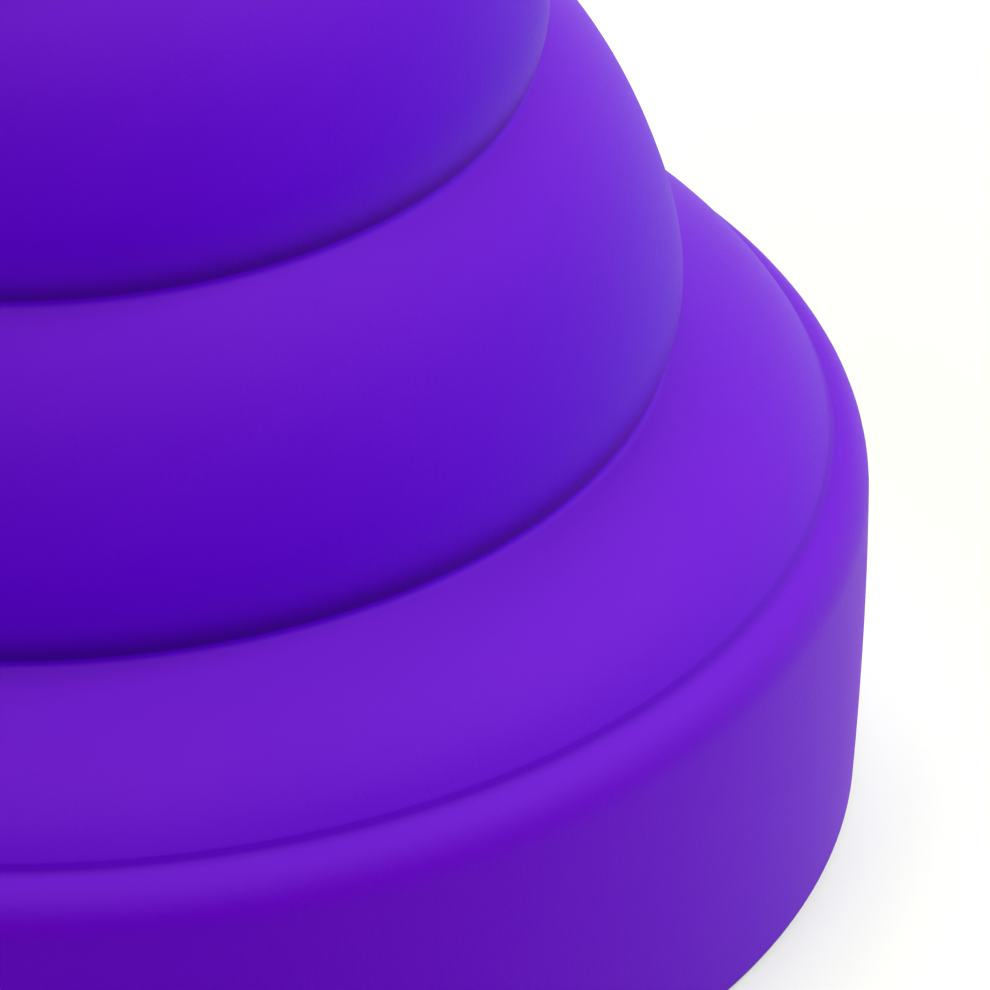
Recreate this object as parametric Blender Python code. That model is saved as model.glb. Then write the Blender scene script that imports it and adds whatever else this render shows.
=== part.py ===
"""Silicone cupping cup: a tiered suction cup that is pressed down and springs back.

The cup is turned about +Z and stands on its lip at z = 0. Its one moulding is divided where it folds, so
each stiff ring, each crease and each soft web is an object of its own. Lengths are in metres. A lean is the
angle of the wall from upright, in degrees, and a positive lean tips inwards.
"""

import math

import bmesh
import bpy
from mathutils import Vector
from mathutils.geometry import interpolate_bezier

# Rim: the lip that seals on the skin, and the band above it
RIM_RADIUS = 0.0300
BAND_HEIGHT = 0.0115
BAND_DRAFT = 0.00043
BAND_WALL = 0.0040
LIP_HEIGHT = 0.0024
LIP_LAND = 0.0016
LIP_ROUND = 0.0003
LIP_FLARE_LEAN = 62
LEDGE_RISE = 0.00186
LEDGE_LEAN = 72

# Shoulder: the sloping web that stands in from the band by a small step
STEP_INSET = 0.0014
STEP_RISE = 0.0004
SHOULDER_RUN = 0.00575
SHOULDER_RISE = 0.00424
SHOULDER_FOOT_LEAN = 36
SHOULDER_TOP_LEAN = 64
SHOULDER_INNER_LEAN = 25

# Tiers: a bulging ring up to the hip, then a domed web in to the next crease
LOWER_HIP_HEIGHT = 0.00445
LOWER_WEB_RUN = 0.0046
LOWER_WEB_RISE = 0.0071
UPPER_HIP_HEIGHT = 0.0040
UPPER_WEB_RUN = 0.0042
UPPER_WEB_RISE = 0.0065
FOOT_LEAN = -28
HIP_LEAN = 18
CREASE_LEAN = 54

# Crown: the closed dome on top
CROWN_HIP_HEIGHT = 0.0034
CROWN_RISE = 0.00715

# Wall of the tiers, length of wall beside a crease that folds with it, and slit between two zones
TIER_WALL = 0.0020
FOLD_REACH = 0.0008
ZONE_GAP = 0.0003

# Points along each curve, and flats round the cup
CURVE_POINTS = 5
DOME_POINTS = 8
RIDGE_POINTS = 4
FLATS = 48

# Finish
VIOLET = (0.135, 0.012, 0.56, 1.0)
SILICONE_ROUGHNESS = 0.55
SMOOTH_ANGLE = 35

UPRIGHT, LEVEL = 0, 90
MERGE_DISTANCE = 1e-6


def at(radius, height):
    """A place on the profile, which lies in the XZ plane."""
    return Vector((radius, 0, height))


def heading(lean):
    """Direction of a wall that rises at this lean."""
    return Vector((-math.sin(math.radians(lean)), 0, math.cos(math.radians(lean))))


def outward(tangent):
    """Normal of a rising wall, away from the axis."""
    return Vector((tangent.z, 0, -tangent.x)).normalized()


def bow(start, end, start_lean, end_lean, count=CURVE_POINTS):
    """Points of a curve from start to end at these leans, as near to an arc as they allow."""
    quarter_turn = math.radians(end_lean - start_lean) / 4
    handle = (end - start).length / (3 * math.cos(quarter_turn) ** 2)
    leaving = start + heading(start_lean) * handle
    arriving = end - heading(end_lean) * handle
    return list(interpolate_bezier(start, leaving, arriving, end, count))


def lengths_along(points):
    """Length of the curve up to each of its points."""
    lengths = [0.0]
    for before, after in zip(points, points[1:]):
        lengths.append(lengths[-1] + (after - before).length)
    return lengths


def inner_side(outer, start_lean, end_lean):
    """The outer curve of a tier set in by its wall, point for point."""
    chords = [after - before for before, after in zip(outer, outer[2:])]
    tangents = [heading(start_lean), *chords, heading(end_lean)]
    return [place - outward(tangent) * TIER_WALL for place, tangent in zip(outer, tangents)]


def stretch(wall, start, end):
    """Both sides of a wall between two lengths along its outer side."""
    outer, inner = wall
    lengths = lengths_along(outer)

    def station(length):
        i = max(j for j in range(len(outer) - 1) if lengths[j] <= length)
        share = (length - lengths[i]) / (lengths[i + 1] - lengths[i])
        return outer[i].lerp(outer[i + 1], share), inner[i].lerp(inner[i + 1], share)

    between = [pair for *pair, length in zip(outer, inner, lengths) if start < length < end]
    stations = [station(start), *between, station(end)]
    return [o for o, _ in stations], [i for _, i in stations]


def length_of(wall):
    return lengths_along(wall[0])[-1]


def tier_walls(crease, hip, top, top_lean=CREASE_LEAN, top_points=CURVE_POINTS):
    """The bulging ring above a crease and the web or dome above its hip, each as outer and inner side."""
    ring = bow(crease, hip, FOOT_LEAN, HIP_LEAN)
    web = bow(hip, top, HIP_LEAN, top_lean, top_points)
    inner = inner_side(ring + web[1:], FOOT_LEAN, top_lean)
    hip_index = len(ring) - 1
    return (ring, inner[: hip_index + 1]), (web, inner[hip_index:])


def loop(outer, inner):
    return outer + inner[::-1]


def silicone(name):
    material = bpy.data.materials.new(name + "_silicone")
    material.use_nodes = True
    surface = material.node_tree.nodes["Principled BSDF"]
    surface.inputs["Base Color"].default_value = VIOLET
    surface.inputs["Roughness"].default_value = SILICONE_ROUGHNESS
    surface.inputs["Metallic"].default_value = 0.0
    return material


def body_empty(name, height, parent=None):
    """The empty of one body, on the axis that the body slides along."""
    empty = bpy.data.objects.new(name, None)
    bpy.context.collection.objects.link(empty)
    empty.parent = parent
    empty.location.z = height - (parent.matrix_world.translation.z if parent else 0)
    bpy.context.view_layer.update()
    return empty


def turned(name, body, profile):
    """Turns a closed profile, or one that starts and ends on the axis, into an object on a body's empty."""
    bm = bmesh.new()
    body_height = at(0, body.matrix_world.translation.z)
    corners = [bm.verts.new(place - body_height) for place in profile]
    sides = zip(corners, corners[1:] + corners[:1])
    edges = [bm.edges.new(side) for side in sides if max(corner.co.x for corner in side) > MERGE_DISTANCE]
    bmesh.ops.spin(
        bm, geom=corners + edges, cent=(0, 0, 0), axis=(0, 0, 1), angle=math.tau, steps=FLATS, use_merge=True
    )
    bmesh.ops.remove_doubles(bm, verts=bm.verts, dist=MERGE_DISTANCE)
    bmesh.ops.recalc_face_normals(bm, faces=bm.faces)
    mesh = bpy.data.meshes.new(name)
    bm.to_mesh(mesh)
    bm.free()
    mesh.shade_smooth()
    mesh.set_sharp_from_angle(angle=math.radians(SMOOTH_ANGLE))
    mesh.materials.append(silicone(name))
    obj = bpy.data.objects.new(name, mesh)
    obj.parent = body
    bpy.context.collection.objects.link(obj)


def fold(name, body, crease, wall_below, wall_above):
    """The wall close to a crease, on both sides of it, with the round ridge that it makes inside."""
    full = length_of(wall_below)
    below_outer, below_inner = stretch(wall_below, full - FOLD_REACH, full)
    above_outer, above_inner = stretch(wall_above, 0, FOLD_REACH)
    start, end = below_inner[-1] - crease, above_inner[0] - crease
    shares = [i / (RIDGE_POINTS - 1) for i in range(RIDGE_POINTS)]
    ridge = [crease + start.slerp(end, share) * TIER_WALL for share in shares]
    outer = below_outer[:-1] + [crease] + above_outer[1:]
    turned(name, body, loop(outer, below_inner[:-1] + ridge + above_inner[1:]))


for leftover in list(bpy.data.objects):
    bpy.data.objects.remove(leftover)

# Places on the outer profile where the zones meet, from the rim to the top
foot_radius = RIM_RADIUS - BAND_DRAFT
mouth_radius = RIM_RADIUS - BAND_WALL
step = at(RIM_RADIUS - STEP_INSET, BAND_HEIGHT + LEDGE_RISE)
shoulder_foot = step + at(0, STEP_RISE)
lower_crease = shoulder_foot + at(-SHOULDER_RUN, SHOULDER_RISE)
lower_hip = lower_crease + at(0, LOWER_HIP_HEIGHT)
middle_crease = lower_hip + at(-LOWER_WEB_RUN, LOWER_WEB_RISE)
upper_hip = middle_crease + at(0, UPPER_HIP_HEIGHT)
upper_crease = upper_hip + at(-UPPER_WEB_RUN, UPPER_WEB_RISE)
crown_hip = upper_crease + at(0, CROWN_HIP_HEIGHT)
apex = at(0, crown_hip.z + CROWN_RISE)

# Bodies, each of which slides down into the one below it
rim = body_empty("rim", 0)
lower_tier = body_empty("lower_tier", lower_crease.z, rim)
upper_tier = body_empty("upper_tier", middle_crease.z, lower_tier)
crown_tier = body_empty("crown_tier", upper_crease.z, upper_tier)


def band_radius(height):
    """Outside of the band, which narrows towards the lip by its draft."""
    return RIM_RADIUS - BAND_DRAFT * (1 - height / BAND_HEIGHT)


# Sealing lip: a flat land with a small round outside and a flare inside
lip_outer = bow(at(foot_radius - LIP_ROUND, 0), at(band_radius(LIP_ROUND), LIP_ROUND), -LEVEL, UPRIGHT)
lip_outer.append(at(band_radius(LIP_HEIGHT), LIP_HEIGHT))
land_edge = at(foot_radius - LIP_ROUND - LIP_LAND, 0)
lip_inner = bow(land_edge, at(mouth_radius, LIP_HEIGHT), LIP_FLARE_LEAN, UPRIGHT)
turned("sealing_lip", rim, loop(lip_outer, lip_inner))

# Rim band: a drafted wall that rounds over into the ledge, with a sloping seat for the shoulder
band_foot = LIP_HEIGHT + ZONE_GAP
seat_edge = at(mouth_radius, step.z - (step.x - mouth_radius) * math.tan(math.radians(SHOULDER_FOOT_LEAN)))
ledge = bow(at(RIM_RADIUS, BAND_HEIGHT), step, UPRIGHT, LEDGE_LEAN)
band_outer = [at(band_radius(band_foot), band_foot), *ledge]
turned("rim_band", rim, loop(band_outer, [at(mouth_radius, band_foot), seat_edge]))

# Walls from crease to crease
slope = bow(shoulder_foot, lower_crease, SHOULDER_FOOT_LEAN, SHOULDER_TOP_LEAN)
slope_top = lower_crease - outward(heading(SHOULDER_TOP_LEAN)) * TIER_WALL
under_slope = bow(seat_edge + at(0, ZONE_GAP), slope_top, SHOULDER_INNER_LEAN, SHOULDER_TOP_LEAN)
shoulder = (slope, under_slope)
lower_ring, lower_web = tier_walls(lower_crease, lower_hip, middle_crease)
upper_ring, upper_web = tier_walls(middle_crease, upper_hip, upper_crease)
crown_ring, crown_dome = tier_walls(upper_crease, crown_hip, apex, LEVEL, DOME_POINTS)

# Shoulder web, on the riser of the step
reach = FOLD_REACH + ZONE_GAP
web_outer, web_inner = stretch(shoulder, 0, length_of(shoulder) - reach)
turned("shoulder_web", rim, loop([step + at(0, ZONE_GAP), *web_outer], web_inner))

# Folds at the creases
fold("lower_fold", lower_tier, lower_crease, shoulder, lower_ring)
fold("middle_fold", upper_tier, middle_crease, lower_web, upper_ring)
fold("upper_fold", crown_tier, upper_crease, upper_web, crown_ring)

# Rings and webs of the two tiers
for tier, tier_name, ring, web in (
    (lower_tier, "lower", lower_ring, lower_web),
    (upper_tier, "upper", upper_ring, upper_web),
):
    turned(tier_name + "_ring", tier, loop(*stretch(ring, reach, length_of(ring))))
    turned(tier_name + "_web", tier, loop(*stretch(web, ZONE_GAP, length_of(web) - reach)))

# Crown: its ring and dome in one
ring_outer, ring_inner = stretch(crown_ring, reach, length_of(crown_ring))
turned("crown", crown_tier, loop(ring_outer + crown_dome[0][1:], ring_inner + crown_dome[1][1:]))
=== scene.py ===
import math
import bmesh
import bpy
from mathutils import Matrix, Vector
from mathutils.geometry import interpolate_bezier


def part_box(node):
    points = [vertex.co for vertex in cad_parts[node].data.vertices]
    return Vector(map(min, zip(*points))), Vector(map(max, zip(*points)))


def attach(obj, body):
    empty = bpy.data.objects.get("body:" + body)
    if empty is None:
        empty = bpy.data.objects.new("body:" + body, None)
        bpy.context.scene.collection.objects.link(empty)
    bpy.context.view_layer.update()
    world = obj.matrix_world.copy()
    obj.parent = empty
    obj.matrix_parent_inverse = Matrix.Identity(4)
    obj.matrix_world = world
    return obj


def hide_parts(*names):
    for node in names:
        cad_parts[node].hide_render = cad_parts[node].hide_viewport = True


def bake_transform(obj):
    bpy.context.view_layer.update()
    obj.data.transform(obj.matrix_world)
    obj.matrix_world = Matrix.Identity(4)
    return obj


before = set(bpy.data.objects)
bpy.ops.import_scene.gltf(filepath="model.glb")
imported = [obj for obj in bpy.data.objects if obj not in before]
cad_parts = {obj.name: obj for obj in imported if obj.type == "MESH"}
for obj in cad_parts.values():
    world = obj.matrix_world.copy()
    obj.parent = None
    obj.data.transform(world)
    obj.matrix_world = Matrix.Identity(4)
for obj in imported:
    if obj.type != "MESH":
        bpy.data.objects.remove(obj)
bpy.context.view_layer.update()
print("frame loaded:", len(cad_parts), "solids")

# The cup is turned about Z. A lean is the angle of its wall from upright, in degrees, inwards positive.
upright, level = 0, 90
turning = {
    "steps": 288,
    "weld": 1e-7,
    "sharpAngle": 40,
    "spacing": 0.00028,  # between the points of a long curve
    "roundPoints": 9,    # on a short one
    "seam": 0.00005,     # straight end where two pieces meet, so that the shading runs on
}


def place(radius, height):
    return Vector((radius, 0, height))


def heading(lean):
    return Vector((-math.sin(math.radians(lean)), 0, math.cos(math.radians(lean))))


def outward(lean):
    return Vector((math.cos(math.radians(lean)), 0, math.sin(math.radians(lean))))


def bow(start, end, startLean, endLean):
    # an arc-like curve that leaves and arrives at these leans
    chord = (end - start).length
    handle = chord / (3 * math.cos(math.radians(endLean - startLean) / 4) ** 2)
    count = max(turning["roundPoints"], round(chord / turning["spacing"]))
    return list(interpolate_bezier(
        start, start + heading(startLean) * handle, end - heading(endLean) * handle, end, count))


def softCorner(corner, leanIn, leanOut, radius):
    # a round in a corner of the profile: where it starts, its middle, and where it ends
    half = math.radians(leanIn - leanOut) / 2  # positive in a valley, negative on a ridge
    reach = radius * math.tan(abs(half))
    rise = math.copysign(radius * (1 / math.cos(half) - 1), half)
    middle = corner + outward((leanIn + leanOut) / 2) * rise
    return corner - heading(leanIn) * reach, middle, corner + heading(leanOut) * reach


def chain(*curves):
    # curves end to end, without the points that two of them share
    points = list(curves[0])
    for curve in curves[1:]:
        points += curve[1:] if (curve[0] - points[-1]).length < turning["weld"] else curve
    return points


def turn(name, profile, closed=False):
    # spins a profile into a piece; an open profile becomes a sheet
    bm = bmesh.new()
    verts = [bm.verts.new(point) for point in profile]
    pairs = list(zip(verts, verts[1:]))
    if closed:
        pairs.append((verts[-1], verts[0]))
    edges = [bm.edges.new(pair) for pair in pairs]
    bmesh.ops.spin(bm, geom=verts + edges, cent=(0, 0, 0), axis=(0, 0, 1), angle=math.tau,
                   steps=turning["steps"], use_merge=True)
    bmesh.ops.remove_doubles(bm, verts=bm.verts, dist=turning["weld"])
    bmesh.ops.recalc_face_normals(bm, faces=bm.faces)
    for edge in bm.edges:
        # an open edge is sharp too, so that the wall's end does not bend the shading of the outside
        edge.smooth = edge.is_manifold and edge.calc_face_angle() < math.radians(turning["sharpAngle"])
    mesh = bpy.data.meshes.new(name)
    bm.to_mesh(mesh)
    bm.free()
    mesh.shade_smooth()
    piece = bpy.data.objects.new(name, mesh)
    bpy.context.scene.collection.objects.link(piece)
    return piece


def thicken(piece, wall):
    # the sheet is the outside, so the wall grows inwards
    solid = piece.modifiers.new("wall", "SOLIDIFY")
    solid.thickness = wall
    solid.offset = -1
    solid.use_even_offset = True
    return solid


# shared by the folds: the wall below a crease tips in, and the ring above it bulges out
fold = {
    "footLean": -28,
    "hipLean": 18,
    "topLean": 54,
    "wall": 0.0020,
    "valleyRound": 0.00028,
    "givesFrom": 0.62,  # share of a ring's height, from its crease up to its hip, that marks a bend start nothing uses
}

# rim: flat lip, slightly barrelled band, rounded ledge, and the low riser under the shoulder
rimCut = {
    "radius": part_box("rim_band")[1].x,
    "mouth": 0.0260,
    "draft": 0.00043,
    "barrelLean": -4,
    "bandTop": 0.0114,
    "lipRound": 0.0003,
    "lipLand": 0.0016,
    "lipHeight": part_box("sealing_lip")[1].z,
    "flareLean": 62,
    "ledgeLean": 72,
    "step": place(0.02868, 0.01324),
    "riser": 0.0004,
    "riserLean": 19,
    "stepFootRound": 0.00035,
    "stepTopRound": 0.0004,
    "shoulderLean": 30,
}
stepTop = rimCut["step"] + heading(rimCut["riserLean"]) * rimCut["riser"]
stepRound = softCorner(stepTop, rimCut["riserLean"], rimCut["shoulderLean"], rimCut["stepTopRound"])
seam = heading(rimCut["shoulderLean"]) * turning["seam"]
shoulderStart = stepRound[2] + seam
seatDepth = (shoulderStart.x - rimCut["mouth"]) / outward(rimCut["shoulderLean"]).x


def makeRim(cut):
    foot = cut["radius"] - cut["draft"]
    landOut = place(foot - cut["lipRound"], 0)
    landIn = place(foot - cut["lipRound"] - cut["lipLand"], 0)
    lipTop = place(foot + cut["draft"] * cut["lipRound"] / cut["bandTop"], cut["lipRound"])
    bandTop = place(cut["radius"], cut["bandTop"])
    footStart, _, footEnd = softCorner(cut["step"], cut["ledgeLean"], cut["riserLean"], cut["stepFootRound"])
    topStart, _, topEnd = stepRound
    lipInside = place(cut["mouth"], cut["lipHeight"])
    seat = shoulderStart - outward(cut["shoulderLean"]) * seatDepth
    profile = chain(
        bow(landOut, lipTop, -level, cut["barrelLean"]),
        bow(lipTop, bandTop, cut["barrelLean"], upright),
        bow(bandTop, footStart, upright, cut["ledgeLean"]),
        bow(footStart, footEnd, cut["ledgeLean"], cut["riserLean"]),
        bow(topStart, topEnd, cut["riserLean"], cut["shoulderLean"]),
        [shoulderStart, seat],
        bow(landIn, lipInside, cut["flareLean"], upright)[::-1],
    )
    return turn("rim_moulding", profile, closed=True)


rim = makeRim(rimCut)

# shoulder: convex slope from the riser in to the first crease, thickest at its foot
shoulderCut = {
    "crease": place(0.02285, 0.0180),
    "topLean": 66,
    "thinFrom": 0.45,  # share of its height above which the wall is as thin as the folds
}
creaseLow = softCorner(shoulderCut["crease"], shoulderCut["topLean"], fold["footLean"], fold["valleyRound"])


def makeShoulder(cut):
    slopeEnd, bottom, _ = creaseLow
    bottomLean = (cut["topLean"] + fold["footLean"]) / 2
    piece = turn("shoulder_wall", chain(
        [shoulderStart],
        bow(shoulderStart + seam, slopeEnd, rimCut["shoulderLean"], cut["topLean"]),
        bow(slopeEnd, bottom, cut["topLean"], bottomLean),
    ))
    group = piece.vertex_groups.new(name="wall")  # share of the foot's wall that is left
    for vert in piece.data.vertices:
        up = (vert.co.z - shoulderStart.z) / (bottom.z - shoulderStart.z) / cut["thinFrom"]
        ease = min(1, max(0, up))
        ease = ease * ease * (3 - 2 * ease)
        group.add([vert.index], 1 + (fold["wall"] / seatDepth - 1) * ease, "REPLACE")
    thicken(piece, seatDepth).vertex_group = group.name
    return piece


shoulder = makeShoulder(shoulderCut)

# tiers: a bulging ring up to the hip, then a domed web in to the next crease
lowerCut = {"crease": shoulderCut["crease"], "hip": place(0.02285, 0.0226), "top": place(0.01825, 0.02955)}
upperCut = {"crease": lowerCut["top"], "hip": place(0.01825, 0.03355), "top": place(0.01405, 0.04005)}
creaseMid, creaseUp = (
    softCorner(cut["top"], fold["topLean"], fold["footLean"], fold["valleyRound"])
    for cut in (lowerCut, upperCut))


def makeTier(name, cut, below, above, leanBelow):
    _, bottom, ringStart = below
    webEnd, top, _ = above
    piece = turn(name, chain(
        bow(bottom, ringStart, (leanBelow + fold["footLean"]) / 2, fold["footLean"]),
        bow(ringStart, cut["hip"], fold["footLean"], fold["hipLean"]),
        bow(cut["hip"], webEnd, fold["hipLean"], fold["topLean"]),
        bow(webEnd, top, fold["topLean"], (fold["topLean"] + fold["footLean"]) / 2),
    ))
    thicken(piece, fold["wall"])
    return piece


lowerTier = makeTier("lower_tier_wall", lowerCut, creaseLow, creaseMid, shoulderCut["topLean"])
upperTier = makeTier("upper_tier_wall", upperCut, creaseMid, creaseUp, fold["topLean"])

# crown: the last ring, closed by a dome
crownCut = {"hip": place(0.01405, 0.04345), "apex": place(0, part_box("crown")[1].z)}


def makeCrown(cut):
    _, bottom, ringStart = creaseUp
    piece = turn("crown_dome", chain(
        bow(bottom, ringStart, (fold["topLean"] + fold["footLean"]) / 2, fold["footLean"]),
        bow(ringStart, cut["hip"], fold["footLean"], fold["hipLean"]),
        bow(cut["hip"], cut["apex"], fold["hipLean"], level),
    ))
    thicken(piece, fold["wall"])
    return piece


crown = makeCrown(crownCut)
cup = [rim, shoulder, lowerTier, upperTier, crown]
print("cup turned:", sum(len(piece.data.polygons) for piece in cup), "faces before the walls")


class Wire:
    # one socket of a node tree, with arithmetic that adds Math nodes
    def __init__(self, tree, socket=None):
        self.tree = tree
        self.socket = socket

    def node(self, kind, settings=None, inputs=None, output=0):
        made = self.tree.nodes.new(kind)
        for key, value in (settings or {}).items():
            setattr(made, key, value)
        for key, value in (inputs or {}).items():
            if isinstance(value, Wire):
                self.tree.links.new(value.socket, made.inputs[key])
            else:
                made.inputs[key].default_value = value
        return Wire(self.tree, made.outputs[output])

    def maths(self, operation, first, second):
        return self.node("ShaderNodeMath", {"operation": operation}, {0: first, 1: second})

    def __add__(self, other):
        return self.maths("ADD", self, other)

    def __sub__(self, other):
        return self.maths("SUBTRACT", self, other)

    def __rsub__(self, other):
        return self.maths("SUBTRACT", other, self)

    def __mul__(self, other):
        return self.maths("MULTIPLY", self, other)

    def __lt__(self, other):
        return self.maths("LESS_THAN", self, other)

    __radd__ = __add__
    __rmul__ = __mul__


silicone = {
    "violet": (0.078, 0.0001, 0.48, 1),
    "violetLight": (0.098, 0.0002, 0.56, 1),
    "handled": (0.120, 0.0008, 0.46, 1),  # the rim, dulled by the fingers that hold it
    "paintedTopSheen": (0.136, 0.0108, 0.505, 1),   # painted sheen: a paler colour on what faces up, in place of the gloss from the lamps above
    "shade": (0.060, 0.0003, 0.32, 1),    # painted shade: a deeper violet under the folds and along the step
    "lint": (0.42, 0.30, 0.72, 1),
    "handledTo": 0.0130,
    "cleanFrom": 0.0142,
    "paintedTopSheenFrom": 0.16,     # how far the surface faces up, from -1 to 1, here and in the next three
    "paintedTopSheenTo": 0.85,
    "shadeFrom": -0.05,
    "shadeTo": -0.45,
    "paintedTopSheenEven": 0.75,     # share of the painted sheen that is there without clouds
    "paintedTopSheenCloud": 0.5,
    "paintedStepShade": (0.02862, 0.01340),  # radius and height of the step, the middle of the painted shade along it
    "paintedStepShadeReach": 0.0004,
    "paintedStepShadeShare": 0.2,
    "roughness": 0.55,
    "ior": 1.41,
    "gloss": 0.20,
    "glossTint": (0.08, 0.05, 0.95, 1),
    "sheen": 0.07,
    "sheenRoughness": 0.35,
    "sheenTint": (1.0, 0.20, 0.25, 1),
    "cloudScale": 95,      # about 10 mm across
    "cloudDetail": 3.0,
    "cloudTint": 0.5,
    "cloudDulling": 0.1,
    "grainScale": 5200,    # mould grain, about 0.2 mm
    "grainDetail": 2.0,
    "grainTint": 0.2,
    "grainDulling": 0.12,
    "grainDepth": 0.000007,
    "lintCells": 70,
    "lintSize": 0.008,
    "lintShare": 0.12,     # share of the cells that hold a speck
    "lintStrength": 0.5,
}


def makeSilicone(look):
    material = bpy.data.materials.new("violet_silicone")
    material.use_nodes = True
    tree = material.node_tree
    surface = tree.nodes["Principled BSDF"]
    wire = Wire(tree)
    where = wire.node("ShaderNodeTexCoord", output="Object")
    height = wire.node("ShaderNodeSeparateXYZ", None, {0: where}, "Z")
    up = wire.node("ShaderNodeSeparateXYZ", None, {0: wire.node("ShaderNodeTexCoord", output="Normal")}, "Z")
    flat = wire.node("ShaderNodeVectorMath", {"operation": "MULTIPLY"}, {0: where, 1: (1, 1, 0)})
    radius = wire.node("ShaderNodeVectorMath", {"operation": "LENGTH"}, {0: flat}, "Value")
    cloud, grain = (
        wire.node("ShaderNodeTexNoise", None, {
            "Vector": where, "Scale": look[kind + "Scale"], "Detail": look[kind + "Detail"]})
        for kind in ("cloud", "grain"))
    noiseMiddle = 0.5
    speck = {"Vector": where, "Scale": look["lintCells"]}
    near = wire.node("ShaderNodeTexVoronoi", None, speck, "Distance")
    chance = wire.node("ShaderNodeSeparateColor", None, {
        "Color": wire.node("ShaderNodeTexVoronoi", None, speck, "Color")}, "Red")
    lintMask = (near < look["lintSize"]) * (chance < look["lintShare"]) * look["lintStrength"]

    def fade(value, start, end):
        return wire.node("ShaderNodeMapRange", {"interpolation_type": "SMOOTHSTEP"}, {
            "Value": value, "From Min": start, "From Max": end})

    def blendColour(share, first, second):
        # 6 and 7 are the colour inputs of a Mix node, and 2 is its colour output
        return wire.node("ShaderNodeMix", {"data_type": "RGBA"}, {0: share, 6: first, 7: second}, 2)

    # painted shade in a soft ring along the step, fading out within its reach
    across, along = radius - look["paintedStepShade"][0], height - look["paintedStepShade"][1]
    paintedStepShade = fade(across * across + along * along, look["paintedStepShadeReach"] ** 2, 0.0)
    colour = blendColour(fade(height, look["handledTo"], look["cleanFrom"]), look["handled"], look["violet"])
    # painted sheen: paler where the surface faces up, patchy with the clouds
    paintedTopSheenShare = fade(up, look["paintedTopSheenFrom"], look["paintedTopSheenTo"]) * (look["paintedTopSheenEven"] + cloud * look["paintedTopSheenCloud"])
    # painted shade: darker where the surface faces down, and along the step
    paintedShadeShare = fade(up, look["shadeFrom"], look["shadeTo"]) + paintedStepShade * look["paintedStepShadeShare"]
    colour = blendColour(cloud * look["cloudTint"] + grain * look["grainTint"], colour, look["violetLight"])
    colour = blendColour(paintedTopSheenShare, colour, look["paintedTopSheen"])
    colour = blendColour(paintedShadeShare, colour, look["shade"])
    colour = blendColour(lintMask, colour, look["lint"])
    roughness = (look["roughness"] + (cloud - noiseMiddle) * look["cloudDulling"]
                 + (grain - noiseMiddle) * look["grainDulling"])
    bump = wire.node("ShaderNodeBump", None, {
        "Height": grain, "Strength": 1.0, "Distance": look["grainDepth"]})
    tree.links.new(colour.socket, surface.inputs["Base Color"])
    tree.links.new(roughness.socket, surface.inputs["Roughness"])
    tree.links.new(bump.socket, surface.inputs["Normal"])
    for socket, value in (
            ("IOR", "ior"), ("Specular IOR Level", "gloss"), ("Specular Tint", "glossTint"),
            ("Sheen Weight", "sheen"), ("Sheen Roughness", "sheenRoughness"), ("Sheen Tint", "sheenTint")):
        surface.inputs[socket].default_value = look[value]
    return material


violet = makeSilicone(silicone)
for piece in cup:
    piece.data.materials.append(violet)
print("silicone made")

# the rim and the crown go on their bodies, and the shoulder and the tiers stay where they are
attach(rim, "rim")
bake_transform(shoulder)
for tier, cut, bodyBelow, bodyAbove, topCrease in (
        (lowerTier, lowerCut, "lower_tier", "upper_tier", creaseMid),
        (upperTier, upperCut, "upper_tier", "crown_tier", creaseUp)):
    bendStart = cut["crease"].lerp(cut["hip"], fold["givesFrom"])
    bendStart * Vector((0, 0, 1))
    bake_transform(tier)
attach(crown, "crown_tier")
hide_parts("sealing_lip", "rim_band")
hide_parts("shoulder_web")
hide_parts("lower_fold", "lower_ring", "lower_web")
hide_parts("middle_fold", "upper_ring", "upper_web")
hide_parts("upper_fold", "crown")

studio = {
    "floorSize": 8.0,
    "floorGap": 0.00001,  # keeps the lip's land off the paper
    "floorColour": (0.77, 0.80, 0.67, 1),
    "floorRoughness": 0.9,
    "floorGlow": 0.16,    # what the camera sees on top of the paper's own light
    "worldLight": 0.002,
    "aim": (0, 0, 0.02),
    "lights": [
        # name, place, size, watts
        ("topRight", (0.6, 0, 0.75), 0.6, 5.3),
        ("topFront", (0.4, -0.4, 0.75), 0.5, 2.55),
        ("topBack", (0, 0.6, 0.75), 0.6, 4.4),
        ("right", (0.8, 0, 0.35), 0.6, 1.9),
        ("frontLeft", (-0.55, -0.55, 0.5), 0.6, 3.3),
        ("left", (-0.8, 0, 0.4), 0.6, 1.85),
    ],
}


def seenDirectly(wire):
    # 1 for rays that show the background: from the camera, in a reflection or through glass
    camera, glossy, through = (
        wire.node("ShaderNodeLightPath", output="Is " + ray + " Ray")
        for ray in ("Camera", "Glossy", "Transmission"))
    return camera + glossy + through


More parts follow.
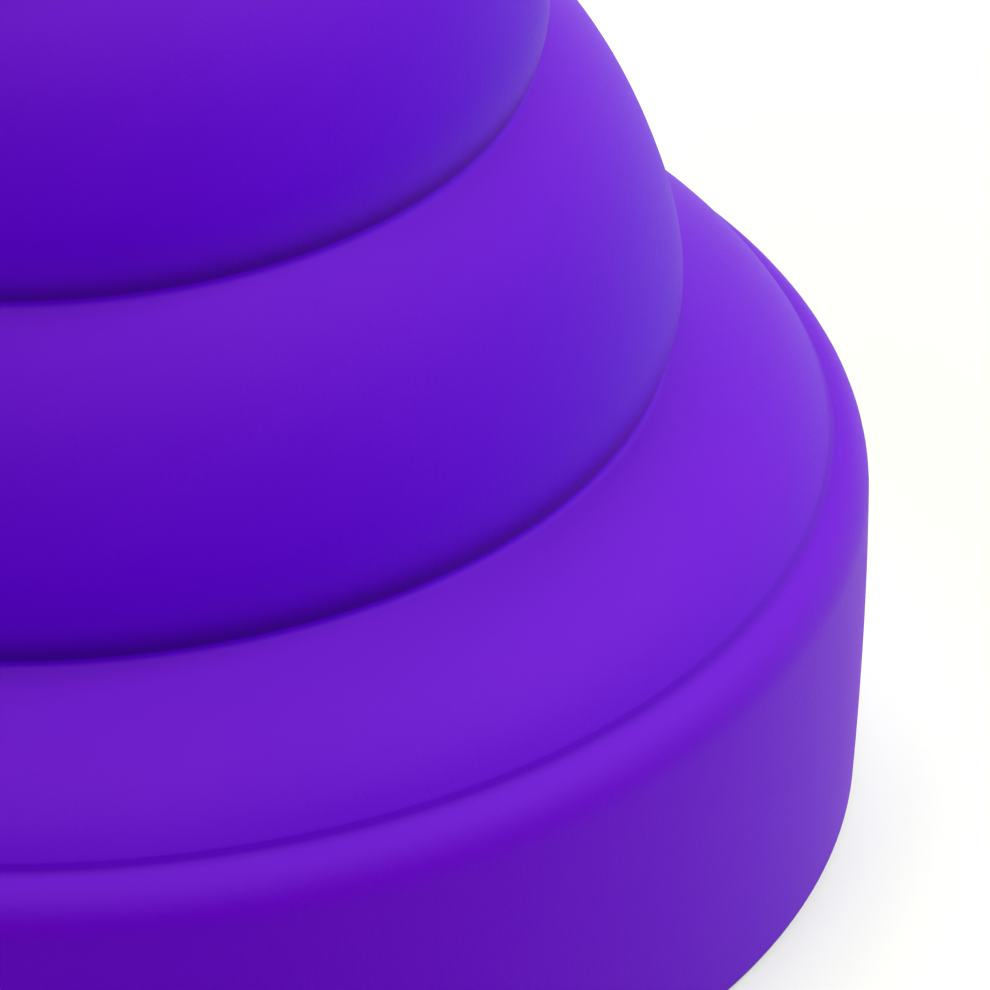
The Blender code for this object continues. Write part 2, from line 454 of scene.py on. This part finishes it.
def makeFloor(look):
    bm = bmesh.new()
    bmesh.ops.create_grid(bm, x_segments=1, y_segments=1, size=look["floorSize"] / 2,
                          matrix=Matrix.Translation((0, 0, -look["floorGap"])))
    mesh = bpy.data.meshes.new("floor")
    bm.to_mesh(mesh)
    bm.free()
    floor = bpy.data.objects.new("floor", mesh)
    bpy.context.scene.collection.objects.link(floor)
    paper = bpy.data.materials.new("white_paper")
    paper.use_nodes = True
    sheet = paper.node_tree.nodes["Principled BSDF"]
    sheet.inputs["Base Color"].default_value = look["floorColour"]
    sheet.inputs["Roughness"].default_value = look["floorRoughness"]
    sheet.inputs["Specular IOR Level"].default_value = 0.0
    sheet.inputs["Emission Strength"].default_value = look["floorGlow"]
    paper.node_tree.links.new(seenDirectly(Wire(paper.node_tree)).socket, sheet.inputs["Emission Color"])
    mesh.materials.append(paper)


def makeStudio(look):
    scene = bpy.context.scene
    scene.view_settings.view_transform = "Standard"
    makeFloor(look)
    world = bpy.data.worlds.new("white_room")
    scene.world = world
    world.use_nodes = True
    tree = world.node_tree
    background = tree.nodes["Background"]
    background.inputs["Color"].default_value = (1, 1, 1, 1)
    seen = seenDirectly(Wire(tree))
    tree.links.new((seen + (1 - seen) * look["worldLight"]).socket, background.inputs["Strength"])
    for name, spot, size, watts in look["lights"]:
        lamp = bpy.data.lights.new(name, "AREA")
        lamp.size = size
        lamp.energy = watts
        light = bpy.data.objects.new(name, lamp)
        light.location = spot
        light.rotation_euler = (Vector(look["aim"]) - Vector(spot)).to_track_quat("-Z", "Y").to_euler()
        scene.collection.objects.link(light)


makeStudio(studio)
print("studio lit")

lens = {
    "distance": 0.600,
    "elevation": 31.73,
    "aim": (0.016777, 0, 0.010663),
    "focal": 616.5,
    "sensor": 36,
    "near": 0.01,
    "far": 20,
}


def makeCamera(look):
    data = bpy.data.cameras.new("camera")
    data.sensor_width = look["sensor"]
    data.lens = look["focal"]
    data.clip_start, data.clip_end = look["near"], look["far"]
    camera = bpy.data.objects.new("camera", data)
    up = math.radians(look["elevation"])
    camera.location = Vector(look["aim"]) + look["distance"] * Vector((0, -math.cos(up), math.sin(up)))
    camera.rotation_euler = (math.pi / 2 - up, 0, 0)
    bpy.context.scene.collection.objects.link(camera)
    bpy.context.scene.camera = camera


makeCamera(lens)
print("camera set")
